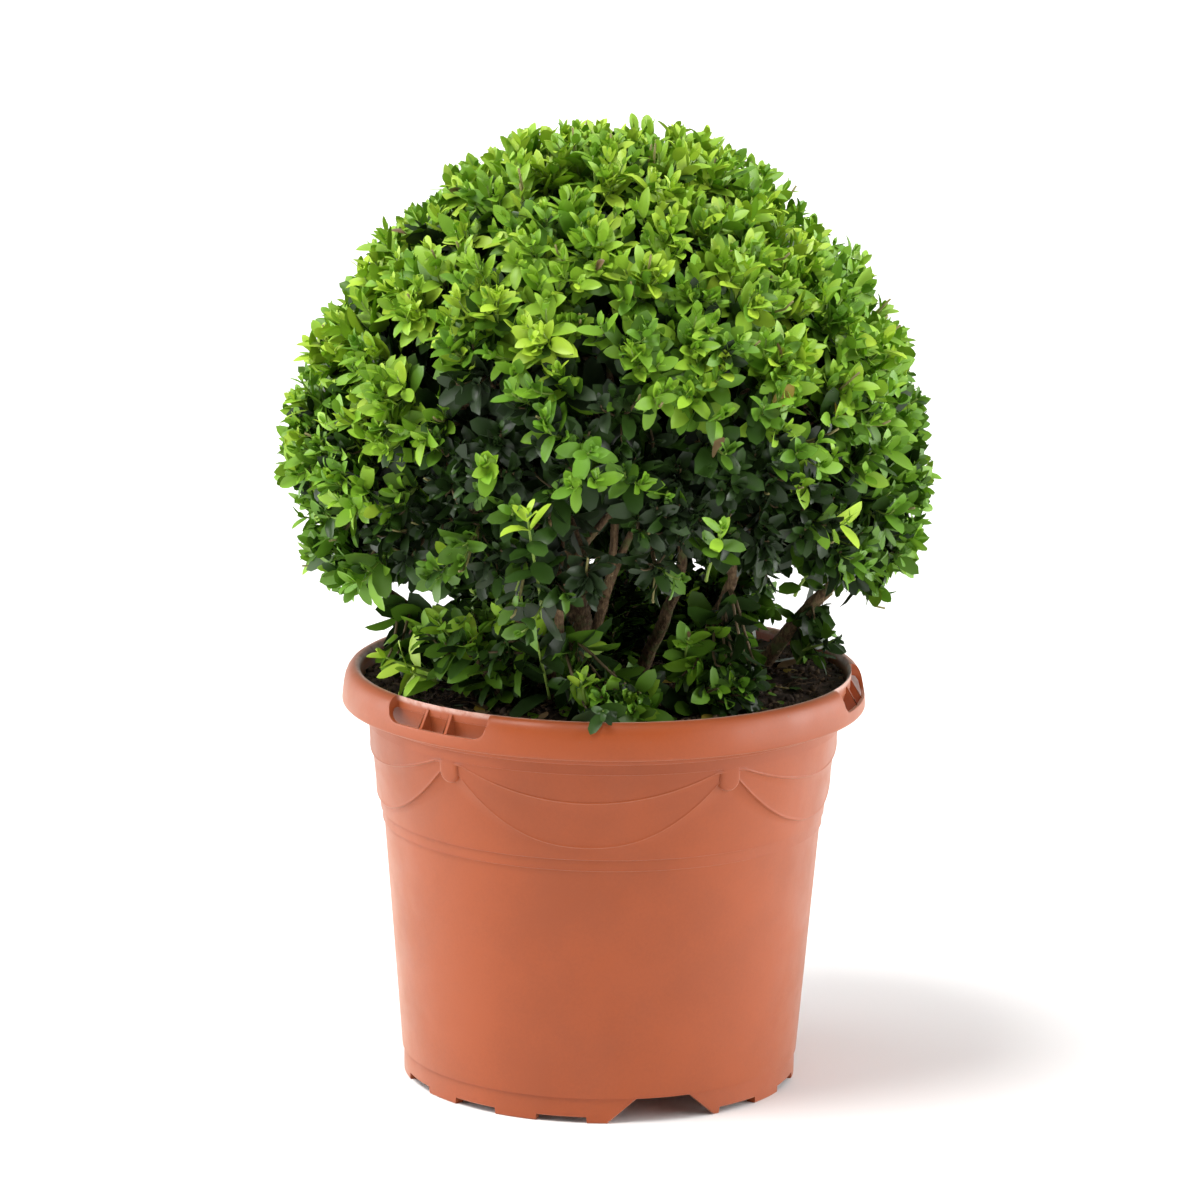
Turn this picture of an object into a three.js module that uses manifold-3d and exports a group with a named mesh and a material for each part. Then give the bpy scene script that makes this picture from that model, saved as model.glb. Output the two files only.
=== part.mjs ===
// A clipped ball of box in a terracotta-coloured plastic pot, as a scene graph of separate sub-parts.
// Millimetres, +Z up. The origin is on the pot's axis at the level it stands on. The front is towards -Y.
import * as THREE from "three";
import { mergeVertices } from "three/addons/utils/BufferGeometryUtils.js";
import Module from "manifold-3d";

const wasm = await Module();
wasm.setup();

// Driving dimensions
const gap = 0.3; // between pieces that touch
const potRadius = 119; // at the collar's lower edge, which makes it a 24 cm pot
const potHeight = 190;
const potWall = 1.8;
const potSegments = 50;
const soilLevel = 182;
const soilUnevenness = 1.6;
const ballRadius = 147;
const ballCentreHeight = 291;
const ballTop = 443;
const ballReach = 153; // from the pot's axis to the furthest leaves, to each side, front and back
const ballDetail = 8;

// The pot, from the ground up
const padHeight = 2.7;
const padDepth = 5; // from the foot ring's outer face inwards
const padCount = 13;
const padAngle = 13;
const firstPadAt = -52.3;
const footRadius = 89.8;
const footWall = 2.2;
const footHeight = 11.7;
const bodyFootRadius = 90.6;
const floorThickness = 2;
const ringRadius = 99.6;
const ringHeight = 119.3;
const ringStep = 0.9; // each of the two steps, out and up
const ringPitch = 5.3;
const neckRadius = 107.2;
const neckHeight = 162;
const collarDrop = 16.3; // how far the collar hangs below the rim
const rimInnerRadius = 111.4;
const cutCount = 3; // drain cut-outs through the foot ring
const firstCutAt = 19;
const cutHalfAngleBelow = 16.5;
const cutHalfAngleAbove = 8;
const floorHoleCount = 6;
const floorHoleRadius = 4.5;
const floorHoleCircle = 62;
const pocketCount = 3; // handle pockets in the collar, open downwards
const firstPocketAt = -40;
const pocketHalfAngle = 14.2;
const pocketDepth = 10.8;
const gussetHalfSpread = 3.5;
const gussetThickness = 1.8;

const colours = {
  plastic: new THREE.Color(0.72, 0.34, 0.19),
  compost: new THREE.Color(0.045, 0.032, 0.024),
  bark: new THREE.Color(0.3, 0.24, 0.15),
  clippedLeaf: new THREE.Color(0.24, 0.42, 0.08),
  oldLeaf: new THREE.Color(0.08, 0.19, 0.07),
};

// Angles are turned about the pot's axis: 0 faces the front and 90 faces +X.
const radians = THREE.MathUtils.degToRad;
const around = (radius, degrees, height) =>
  new THREE.Vector3(radius * Math.sin(radians(degrees)), -radius * Math.cos(radians(degrees)), height);

// A seeded source of random numbers from 0 to 1
function seeded(seed) {
  let state = seed * 2654435761;
  return () => {
    state = (state + 0x6d2b79f5) | 0;
    let mixed = Math.imul(state ^ (state >>> 15), 1 | state);
    mixed = (mixed + Math.imul(mixed ^ (mixed >>> 7), 61 | mixed)) ^ mixed;
    return ((mixed ^ (mixed >>> 14)) >>> 0) / 4294967296;
  };
}

// A smooth uneven field of about -1 to 1: waves that cross in seeded directions
function makeRipple(seed, frequency, waveCount = 7) {
  const random = seeded(seed);
  const waves = Array.from({ length: waveCount }, () => ({
    along: new THREE.Vector3(random() - 0.5, random() - 0.5, random() - 0.5).normalize(),
    frequency: frequency * (0.6 + 0.8 * random()),
    phase: 2 * Math.PI * random(),
  }));
  const wave = ({ along, frequency, phase }, at) => Math.sin(frequency * along.dot(at) + phase);
  return (at) => (1.6 / waveCount) * waves.reduce((sum, each) => sum + wave(each, at), 0);
}

// Solids for joining and cutting
function toSolid(geometry) {
  const bare = geometry.clone();
  bare.deleteAttribute("normal");
  bare.deleteAttribute("uv");
  const merged = mergeVertices(bare, 1e-4);
  const index = Array.from(merged.index.array);
  const triangles = [];
  for (let i = 0; i < index.length; i += 3) {
    const [a, b, c] = index.slice(i, i + 3);
    if (a !== b && b !== c && c !== a) triangles.push(a, b, c);
  }
  return new wasm.Manifold(
    new wasm.Mesh({
      numProp: 3,
      vertProperties: merged.attributes.position.array,
      triVerts: new Uint32Array(triangles),
    }),
  );
}

function toGeometry(solid) {
  const mesh = solid.getMesh();
  const geometry = new THREE.BufferGeometry();
  geometry.setAttribute("position", new THREE.BufferAttribute(new Float32Array(mesh.vertProperties), 3));
  geometry.setIndex(new THREE.BufferAttribute(new Uint32Array(mesh.triVerts), 1));
  geometry.computeVertexNormals();
  return geometry;
}

// The largest piece of a solid, for where a cut leaves crumbs beside it
const largestPiece = (solid) => solid.decompose().reduce((a, b) => (a.volume() > b.volume() ? a : b));

function turned(profile, segments) {
  const points = profile.map(([radius, height]) => new THREE.Vector2(radius, height));
  return new THREE.LatheGeometry(points, segments).rotateX(Math.PI / 2);
}

// A closed block between two angles and two radii, whose angles may differ at the bottom and the top
function sector({ at, halfBelow, halfAbove, inner, outer, below, above }) {
  const steps = Math.ceil(halfBelow / 3.5);
  const corners = [
    [inner, below, halfBelow],
    [outer, below, halfBelow],
    [outer, above, halfAbove],
    [inner, above, halfAbove],
  ];
  const positions = [];
  for (let step = 0; step <= steps; step++) {
    const share = (2 * step) / steps - 1;
    for (const [radius, height, half] of corners) {
      positions.push(...around(radius, at + share * half, height));
    }
  }
  const index = [0, 1, 2, 0, 2, 3];
  for (let step = 0; step < steps; step++) {
    for (let side = 0; side < 4; side++) {
      const next = (side + 1) % 4;
      const [a, b] = [4 * step + side, 4 * step + next];
      index.push(a, a + 4, b + 4, a, b + 4, b);
    }
  }
  const last = 4 * steps;
  index.push(last, last + 2, last + 1, last, last + 3, last + 2);
  const geometry = new THREE.BufferGeometry();
  geometry.setAttribute("position", new THREE.Float32BufferAttribute(positions, 3));
  geometry.setIndex(index);
  return toSolid(geometry);
}

const everyTurn = (count, first, make) =>
  Array.from({ length: count }, (_, i) => make(first + (360 * i) / count, i));

// The outside of the pot's wall, from its foot to the rim, as radius and height
const wallOutline = [
  [bodyFootRadius, footHeight],
  [ringRadius, ringHeight],
  [ringRadius + ringStep, ringHeight + ringStep],
  [ringRadius + ringStep + 0.2, ringHeight + ringPitch - ringStep],
  [ringRadius + 2 * ringStep, ringHeight + ringPitch],
  [neckRadius - 0.9, neckHeight - 8],
  [neckRadius, neckHeight],
  [rimInnerRadius + 0.6, potHeight - 5.5],
];
// The plain stretches of the inside, which the root ball fits
const insideOutline = [0, 1, 4, 6].map((i) => [wallOutline[i][0] - potWall, wallOutline[i][1]]);

function makePot() {
  const collarFoot = potHeight - collarDrop;
  const collar = [
    [potRadius - 3.4, potHeight - 5.9],
    [potRadius - potWall, collarFoot],
    [potRadius, collarFoot],
    [potRadius - 0.9, potHeight - 7.5],
    [potRadius - 3.2, potHeight - 2.2],
    [potRadius - 5.6, potHeight],
    [rimInnerRadius, potHeight - 1.2],
  ];
  const floorTop = footHeight + floorThickness;
  const inside = insideOutline.slice(1).reverse();
  const shell = toSolid(
    turned(
      [
        [0, footHeight],
        [footRadius - footWall, footHeight],
        [footRadius - footWall, padHeight],
        [footRadius, padHeight],
        [footRadius, footHeight],
        ...wallOutline,
        ...collar,
        ...inside,
        [insideOutline[0][0] + 0.15, floorTop],
        [0, floorTop],
      ],
      potSegments,
    ),
  );
  const pads = everyTurn(padCount, firstPadAt, (at) =>
    sector({
      at,
      halfBelow: padAngle / 2,
      halfAbove: padAngle / 2,
      inner: footRadius - padDepth,
      outer: footRadius - 0.02,
      below: 0,
      above: footHeight + 0.5,
    }),
  );
  const gussets = everyTurn(pocketCount, firstPocketAt, (at) =>
    [-1, 1].map((side) => makeGusset(at + side * gussetHalfSpread)),
  ).flat();
  const pockets = everyTurn(pocketCount, firstPocketAt, makePocket);
  const drains = everyTurn(cutCount, firstCutAt, (at) =>
    sector({
      at,
      halfBelow: cutHalfAngleBelow,
      halfAbove: cutHalfAngleAbove,
      inner: footRadius - padDepth - 2,
      outer: footRadius + 2,
      below: -1,
      above: footHeight - 0.4,
    }),
  );
  const holes = everyTurn(floorHoleCount, 0, (at) => {
    const hole = new THREE.CylinderGeometry(floorHoleRadius, floorHoleRadius, 4 * floorThickness, 12);
    const centre = around(floorHoleCircle, at, footHeight + floorThickness / 2);
    return toSolid(hole.rotateX(Math.PI / 2).translate(...centre));
  });
  const joined = wasm.Manifold.union([
    wasm.Manifold.difference([wasm.Manifold.union([shell, ...pads]), ...pockets, ...drains, ...holes]),
    ...gussets,
  ]);
  return largestPiece(joined);
}

// A pocket takes the collar's shoulder away, down to a lip, with slanted lower corners
function makePocket(at) {
  const inner = rimInnerRadius + 1;
  const [above, below] = [potHeight + 2, potHeight - pocketDepth];
  const [corner, rise] = [3, 4.5]; // each lower corner slants over this many degrees and this much height
  const [wide, narrow] = [pocketHalfAngle, pocketHalfAngle - corner];
  const outer = potRadius + 2;
  return wasm.Manifold.union([
    sector({ at, inner, outer, halfBelow: wide, halfAbove: wide, below: below + rise, above }),
    sector({ at, inner, outer, halfBelow: narrow, halfAbove: wide, below, above: below + rise }),
  ]);
}

// A rib across the pocket, high at the wall and low at the lip
function makeGusset(at) {
  const profile = new THREE.Shape([
    new THREE.Vector2(rimInnerRadius - 1.2, potHeight - 13),
    new THREE.Vector2(potRadius - 1, potHeight - 13),
    new THREE.Vector2(potRadius - 1, potHeight - pocketDepth - 0.5),
    new THREE.Vector2(potRadius - 2, potHeight - pocketDepth),
    new THREE.Vector2(rimInnerRadius + 0.8, potHeight - 3),
    new THREE.Vector2(rimInnerRadius - 0.3, potHeight - 4),
  ]);
  const rib = new THREE.ExtrudeGeometry(profile, { depth: gussetThickness, bevelEnabled: false });
  rib.translate(0, 0, -gussetThickness / 2).rotateX(Math.PI / 2);
  return toSolid(rib.rotateZ(radians(at - 90)));
}

function makeSoil(limbs) {
  const ripple = makeRipple(5, 0.11, 9);
  const floor = footHeight + floorThickness + gap;
  const side = insideOutline.map(([radius, height]) => [radius - gap, height]);
  side[0] = [side[0][0] + 0.15, floor];
  const edge = rimInnerRadius - potWall - 1.2;
  const tops = [0.84, 0.64, 0.42, 0.2].map((share) => [edge * share, soilLevel]);
  const geometry = turned([[0, floor], ...side, [edge, soilLevel - 2], ...tops, [0, soilLevel]], 36);
  const at = new THREE.Vector3();
  const position = geometry.attributes.position;
  for (let i = 0; i < position.count; i++) {
    at.fromBufferAttribute(position, i);
    const inland = THREE.MathUtils.smoothstep(edge - Math.hypot(at.x, at.y), 2, 12);
    if (at.z > soilLevel - 1) position.setZ(i, at.z + soilUnevenness * inland * ripple(at.setZ(0)));
  }
  return largestPiece(toSolid(geometry).subtract(limbs));
}

// A limb is a tapering tube along a bowed curve. Its foot may flare, and extra makes all of it thicker.
function limbSolid({ foot, through, tip, thick, thin, flare = 0, sides = 7, steps = 7 }, extra = 0) {
  const curve = new THREE.CatmullRomCurve3([foot, through, tip].map((place) => new THREE.Vector3(...place)));
  const frames = curve.computeFrenetFrames(steps);
  const positions = [];
  for (let step = 0; step <= steps; step++) {
    const share = step / steps;
    const centre = curve.getPointAt(share);
    const radius = THREE.MathUtils.lerp(thick, thin, share) + flare * Math.exp(-9 * share) + extra;
    for (let side = 0; side < sides; side++) {
      const angle = (2 * Math.PI * side) / sides;
      const out = frames.normals[step].clone().multiplyScalar(radius * Math.cos(angle));
      out.addScaledVector(frames.binormals[step], radius * Math.sin(angle));
      positions.push(...out.add(centre));
    }
  }
  const index = [];
  for (let step = 0; step < steps; step++) {
    for (let side = 0; side < sides; side++) {
      const [a, b] = [step * sides + side, step * sides + ((side + 1) % sides)];
      index.push(a, b, b + sides, a, b + sides, a + sides);
    }
  }
  const last = steps * sides;
  for (let side = 1; side < sides - 1; side++) {
    index.push(0, side + 1, side, last, last + side, last + side + 1);
  }
  const geometry = new THREE.BufferGeometry();
  geometry.setAttribute("position", new THREE.Float32BufferAttribute(positions, 3));
  geometry.setIndex(index);
  return toSolid(geometry);
}

const footLevel = soilLevel - 8; // the limbs' flat feet, a little below the soil's surface
const limbs = {
  trunk: {
    foot: [-9, 6, footLevel], through: [-14, 0, 226], tip: [-8, -6, 276],
    thick: 8, thin: 5.5, flare: 6,
  },
  bough_right: {
    foot: [66, 30, footLevel], through: [93, 8, 217], tip: [138, -6, 262],
    thick: 4.6, thin: 2.8,
  },
  bough_stub: {
    foot: [43, 16, footLevel], through: [50, -2, 199], tip: [58, -18, 219],
    thick: 5, thin: 4.2,
  },
  bough_front_right: {
    foot: [30, -14, footLevel], through: [49, -34, 220], tip: [72, -56, 276],
    thick: 4, thin: 2.8,
  },
  bough_centre: {
    foot: [12, 12, footLevel], through: [29, -12, 219], tip: [50, -28, 276],
    thick: 4.2, thin: 3,
  },
  bough_front: {
    foot: [-9, -26, footLevel], through: [-3, -42, 219], tip: [16, -52, 276],
    thick: 3.8, thin: 2.6,
  },
  bough_front_left: {
    foot: [-28, -46, footLevel], through: [-20, -64, 219], tip: [-28, -78, 270],
    thick: 3.6, thin: 2.4,
  },
  bough_left: {
    foot: [-34, 8, footLevel], through: [-84, -2, 211], tip: [-134, -8, 252],
    thick: 4.2, thin: 2.4,
  },
  bough_back_left: {
    foot: [-26, 38, footLevel], through: [-50, 62, 212], tip: [-84, 88, 258],
    thick: 4.4, thin: 2.8,
  },
  bough_back: {
    foot: [2, 42, footLevel], through: [8, 68, 213], tip: [14, 104, 262],
    thick: 4.2, thin: 2.8,
  },
  bough_back_right: {
    foot: [34, 46, footLevel], through: [56, 64, 214], tip: [92, 80, 262],
    thick: 4.2, thin: 2.6,
  },
};

// The clipped ball: broad swellings and hollows, then a fine unevenness, and a flat underside
const swellings = [
  { towards: [-0.78, -0.1, 0.6], by: -9, spread: 0.32 },
  { towards: [0.74, 0, 0.7], by: -9, spread: 0.34 },
  { towards: [-0.97, -0.1, -0.15], by: 4, spread: 0.3 },
  { towards: [0.9, 0.2, -0.5], by: -3, spread: 0.3 },
  { towards: [0.35, 0.5, 0.8], by: 2, spread: 0.3 },
  { towards: [-0.2, 0.9, 0.3], by: -3, spread: 0.35 },
];
const underside = { height: 229, frontRise: 11, frontRightRise: 26, frontRightAt: 32, frontRightHalf: 34, dome: 9 };

function undersideAt(x, y) {
  const reach = Math.hypot(x, y) / ballRadius;
  const degrees = THREE.MathUtils.radToDeg(Math.atan2(x, -y));
  const fromFront = Math.exp(-((degrees / 75) ** 2));
  const fromFrontRight = Math.exp(-(((degrees - underside.frontRightAt) / underside.frontRightHalf) ** 2));
  const outward = THREE.MathUtils.smoothstep(reach, 0.1, 0.5);
  const rise = Math.max(underside.frontRise * fromFront, underside.frontRightRise * fromFrontRight);
  return underside.height + outward * rise + underside.dome * (1 - reach ** 2);
}

function makeBall() {
  const geometry = new THREE.IcosahedronGeometry(1, ballDetail);
  const broadRipple = makeRipple(11, 7, 9);
  const fineRipple = makeRipple(12, 19, 12);
  const position = geometry.attributes.position;
  const toward = new THREE.Vector3();
  const at = new THREE.Vector3();
  for (let i = 0; i < position.count; i++) {
    toward.fromBufferAttribute(position, i).normalize();
    const broad = swellings.reduce((sum, swelling) => {
      const away = 1 - toward.dot(at.set(...swelling.towards).normalize());
      return sum + swelling.by * Math.exp(-away / swelling.spread ** 2);
    }, 0);
    const unevenness = 2.5 * broadRipple(toward) + 2.8 * fineRipple(toward);
    at.copy(toward).multiplyScalar(ballRadius + broad + unevenness);
    at.z += ballCentreHeight;
    const lowest = undersideAt(at.x, at.y) + 2 * broadRipple(at.clone().divideScalar(ballRadius));
    if (at.z < lowest) at.z = lowest + 0.1 * (at.z - lowest);
    position.setXYZ(i, ...at);
  }
  reachEvenly(geometry);
  return toSolid(geometry);
}

// Stretches each side of the ball a little, so that it reaches equally far each way from the pot's axis
function reachEvenly(geometry) {
  geometry.computeBoundingBox();
  const { min, max } = geometry.boundingBox;
  const position = geometry.attributes.position;
  const lift = (ballTop - ballCentreHeight) / (max.z - ballCentreHeight);
  for (let i = 0; i < position.count; i++) {
    const [x, y, z] = [position.getX(i), position.getY(i), position.getZ(i)];
    position.setX(i, x * (x > 0 ? ballReach / max.x : -ballReach / min.x));
    position.setY(i, y * (y > 0 ? ballReach / max.y : -ballReach / min.y));
    if (z > ballCentreHeight) position.setZ(i, ballCentreHeight + (z - ballCentreHeight) * lift);
  }
}

// Low sprays under the ball, each an uneven cushion about its centre
const lowMasses = {
  foliage_low_front_left: { centre: [-50, -46, 211], radii: [39, 31, 24], seed: 21 },
  foliage_low_front: { centre: [4, -86, 194], radii: [21, 19, 9], seed: 22 },
  foliage_low_right: { centre: [53, -60, 197], radii: [22, 19, 12], seed: 23 },
  foliage_low_far_right: { centre: [95, 8, 205], radii: [14, 18, 16], seed: 24 },
  foliage_low_left: { centre: [-84, -22, 197], radii: [20, 17, 10], seed: 25 },
  foliage_low_back_left: { centre: [-42, 58, 208], radii: [40, 30, 23], seed: 26 },
  foliage_low_back_right: { centre: [48, 66, 206], radii: [36, 28, 21], seed: 27 },
};

function makeLowMass({ centre, radii, seed }, extra = 0) {
  const geometry = new THREE.IcosahedronGeometry(1, 2);
  const ripple = makeRipple(seed, 4);
  const position = geometry.attributes.position;
  const toward = new THREE.Vector3();
  for (let i = 0; i < position.count; i++) {
    toward.fromBufferAttribute(position, i).normalize();
    const swollen = 1 + 0.12 * ripple(toward);
    const out = (radius, axis) => centre[axis] + (radius * swollen + extra) * toward.getComponent(axis);
    position.setXYZ(i, ...radii.map(out));
  }
  return toSolid(geometry);
}

// Clearances: the limbs stop under the ball, and the soil and the low sprays are cut round the limbs
const ball = makeBall();
const growBy = (solid, share, centre) =>
  solid
    .translate(centre.map((c) => -c))
    .scale([share, share, share])
    .translate(centre);
const roomForBall = growBy(ball, 1 + (2 * gap) / ballRadius, [0, 0, ballCentreHeight]);
const roomForLimbs = wasm.Manifold.union(Object.values(limbs).map((limb) => limbSolid(limb, gap)));

function finish(name, solid, colour, roughness) {
  const material = new THREE.MeshStandardMaterial({ color: colour, roughness, metalness: 0 });
  const mesh = new THREE.Mesh(toGeometry(solid), material);
  mesh.name = name;
  return mesh;
}

const topiary = new THREE.Group();
topiary.add(finish("pot", makePot(), colours.plastic, 0.55));
topiary.add(finish("soil", makeSoil(roomForLimbs), colours.compost, 0.95));
for (const [name, limb] of Object.entries(limbs)) {
  const trimmed = largestPiece(limbSolid(limb).subtract(roomForBall));
  topiary.add(finish(name, trimmed, colours.bark, 0.85));
}
let taken = roomForLimbs.add(roomForBall);
for (const [name, mass] of Object.entries(lowMasses)) {
  topiary.add(finish(name, largestPiece(makeLowMass(mass).subtract(taken)), colours.oldLeaf, 0.6));
  taken = taken.add(makeLowMass(mass, 2 * gap));
}
topiary.add(finish("foliage_ball", ball, colours.clippedLeaf, 0.6));

export default topiary;
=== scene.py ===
"""A clipped ball of box in a terracotta-coloured plastic pot: the looks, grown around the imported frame."""
import math
from itertools import combinations

import bpy
import numpy as np
from mathutils import Matrix, Vector, noise
from mathutils.bvhtree import BVHTree


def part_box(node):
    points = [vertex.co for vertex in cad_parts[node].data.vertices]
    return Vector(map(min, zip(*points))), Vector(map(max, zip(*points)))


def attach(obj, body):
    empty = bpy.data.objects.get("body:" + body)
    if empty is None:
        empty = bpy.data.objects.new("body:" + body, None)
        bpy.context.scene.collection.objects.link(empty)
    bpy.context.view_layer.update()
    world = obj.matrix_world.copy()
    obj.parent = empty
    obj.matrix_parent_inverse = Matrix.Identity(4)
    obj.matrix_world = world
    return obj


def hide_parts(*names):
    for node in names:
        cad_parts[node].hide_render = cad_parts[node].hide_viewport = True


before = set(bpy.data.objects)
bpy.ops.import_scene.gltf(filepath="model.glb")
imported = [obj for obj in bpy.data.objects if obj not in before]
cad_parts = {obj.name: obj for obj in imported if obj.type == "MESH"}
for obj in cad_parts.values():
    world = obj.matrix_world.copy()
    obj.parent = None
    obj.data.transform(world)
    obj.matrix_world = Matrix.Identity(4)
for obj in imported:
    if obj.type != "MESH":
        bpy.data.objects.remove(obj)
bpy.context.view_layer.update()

MM = 0.001
UP = np.array([0.0, 0.0, 1.0])


# ---- small helpers

def unit(v):
    """Vectors of length 1, along the last axis."""
    return v / np.maximum(np.linalg.norm(v, axis=-1, keepdims=True), 1e-12)


def smooth(low, high, x):
    """0 below low, 1 above high, and a smooth step between."""
    t = np.clip((x - low) / (high - low), 0, 1)
    return t * t * (3 - 2 * t)


def around(radius, degrees, height):
    """A point about the pot's axis: 0 degrees faces the front and 90 faces +X."""
    a = np.radians(degrees)
    return np.stack(np.broadcast_arrays(radius * np.sin(a), -radius * np.cos(a), height), -1)


def sideways(axis, rng):
    """A random direction square to each axis."""
    return unit(np.cross(axis, rng.normal(size=axis.shape)))


def turn(v, axis, angle):
    """v turned about axis, row by row."""
    c, s = np.cos(angle)[..., None], np.sin(angle)[..., None]
    return v * c + np.cross(axis, v) * s + axis * (np.sum(axis * v, -1, keepdims=True) * (1 - c))


def field(points, size, seed):
    """Smooth noise of about -1 to 1 at each point, with features of the given size."""
    shift = Vector((seed * 7.3, seed * 3.1, -seed * 5.7))
    values = [noise.noise(Vector(p) / size + shift) for p in points.reshape(-1, 3)]
    return np.array(values).reshape(points.shape[:-1])


def put(name, data):
    """A new object in the scene."""
    made = bpy.data.objects.new(name, data)
    bpy.context.scene.collection.objects.link(made)
    return made


def build(name, verts, faces, material, slot, stands_for=(), sharp=None):
    """A mesh piece from arrays, riding on the plant's one body."""
    mesh = bpy.data.meshes.new(name)
    verts = np.ascontiguousarray(verts, np.float32)
    mesh.vertices.add(len(verts))
    mesh.vertices.foreach_set("co", verts.ravel())
    faces = np.ascontiguousarray(faces, np.int32)
    mesh.loops.add(faces.size)
    mesh.loops.foreach_set("vertex_index", faces.ravel())
    mesh.polygons.add(len(faces))
    mesh.polygons.foreach_set("loop_start", np.arange(0, faces.size, faces.shape[1], dtype=np.int32))
    mesh.polygons.foreach_set("use_smooth", np.ones(len(faces), bool))
    mesh.update(calc_edges=True)
    mesh.materials.append(material)
    if sharp is not None:
        mesh.set_sharp_from_angle(angle=math.radians(sharp))
    piece = put(name, mesh)
    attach(piece, "root")
    if stands_for:
        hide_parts(*stands_for)
    return piece


class Pile:
    """Many small meshes gathered into one."""

    def __init__(self):
        self.verts, self.faces, self.count = [], [], 0

    def add(self, verts, faces):
        verts = np.asarray(verts).reshape(-1, 3)
        self.verts.append(verts)
        self.faces.append(np.asarray(faces) + self.count)
        self.count += len(verts)

    def arrays(self):
        return np.concatenate(self.verts), np.concatenate(self.faces)


def tile(faces, copies, size):
    """One small mesh's faces, repeated for many copies of its vertices."""
    return (faces[None] + (np.arange(copies) * size)[:, None, None]).reshape(-1, faces.shape[1])


def bent(curves, t):
    """Points and directions on curves, which are given as foot, slope there, tip and slope there."""
    p0, m0, p1, m1 = (v[:, None] for v in curves)
    t = t[..., None]
    at = (2 * t**3 - 3 * t**2 + 1) * p0 + (t**3 - 2 * t**2 + t) * m0
    at = at + (3 * t**2 - 2 * t**3) * p1 + (t**3 - t**2) * m1
    along = (6 * t**2 - 6 * t) * (p0 - p1) + (3 * t**2 - 4 * t + 1) * m0 + (3 * t**2 - 2 * t) * m1
    return at, unit(along)


def tubes(paths, radii, sides, swell=None):
    """Closed tubes along many paths (n, k, 3) with radii (n, k) or (1, k): vertices and faces of four."""
    n, k, _ = paths.shape
    along = unit(np.gradient(paths, axis=1))
    first = np.cross(along[:, 0], [0.31, 0.87, 0.39])
    normals = [unit(first)]
    for i in range(1, k):
        last = normals[-1]
        normals.append(unit(last - along[:, i] * np.sum(last * along[:, i], -1, keepdims=True)))
    normal = np.stack(normals, 1)
    other = np.cross(along, normal)
    angle = np.linspace(0, 2 * np.pi, sides, endpoint=False)
    out = normal[:, :, None] * np.cos(angle)[:, None] + other[:, :, None] * np.sin(angle)[:, None]
    r = radii[:, :, None] * (1 if swell is None else swell)
    verts = paths[:, :, None] + out * r[..., None]
    ends = np.stack([paths[:, 0], paths[:, -1]], 1)
    verts = np.concatenate([verts.reshape(n, -1, 3), ends], 1)
    faces = []
    for i in range(k - 1):
        for j in range(sides):
            a, b = i * sides + j, i * sides + (j + 1) % sides
            faces.append([a, b, b + sides, a + sides])
    low, high = k * sides, k * sides + 1
    last = (k - 1) * sides
    for j in range(0, sides, 2):
        a, b, c = j, (j + 1) % sides, (j + 2) % sides
        faces.append([low, c, b, a])
        faces.append([high, last + a, last + b, last + c])
    return verts.reshape(-1, 3), tile(np.array(faces), n, verts.shape[1])


def revolved(degrees, radius, height):
    """A skin round the axis, from radius and height as (columns, rows). Each column closes on itself."""
    verts = around(radius, degrees[:, None], height)
    columns, rows = radius.shape
    c, r = np.meshgrid(np.arange(columns), np.arange(rows), indexing="ij")
    c1, r1 = (c + 1) % columns, (r + 1) % rows
    faces = np.stack([c * rows + r, c1 * rows + r, c1 * rows + r1, c * rows + r1], -1)
    return verts.reshape(-1, 3), faces.reshape(-1, 4)


# ---- camera, light and floor

def make_camera():
    """A long lens from the front, a little above level, with a slight lean."""
    distance, elevation, lean = 2.68, math.radians(12.27), math.radians(0.76)
    target = Vector((0, 0, 0.22))
    forward = Vector((0, math.cos(elevation), -math.sin(elevation)))
    level, upright = Vector((1, 0, 0)), Vector((0, math.sin(elevation), math.cos(elevation)))
    right = level * math.cos(lean) + upright * math.sin(lean)
    up = upright * math.cos(lean) - level * math.sin(lean)
    data = bpy.data.cameras.new("camera")
    data.lens, data.sensor_width, data.shift_x = 177.2, 36, -0.0042
    data.clip_start, data.clip_end = 0.1, 50
    camera = put("camera", data)
    aim = Matrix((right, up, -forward)).transposed().to_4x4()
    camera.matrix_world = Matrix.Translation(target - forward * distance) @ aim
    bpy.context.scene.camera = camera


SIDE_LIGHT, TOP_LIGHT, HORIZON, FRONT_LIGHT = 5.0, 1.0, 0.9, 0.05
RIGHT_SHARE = 1.3  # how much stronger the right panel is than the left one
FLOOR_REACH = 6  # half the floor's side, in metres


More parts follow.
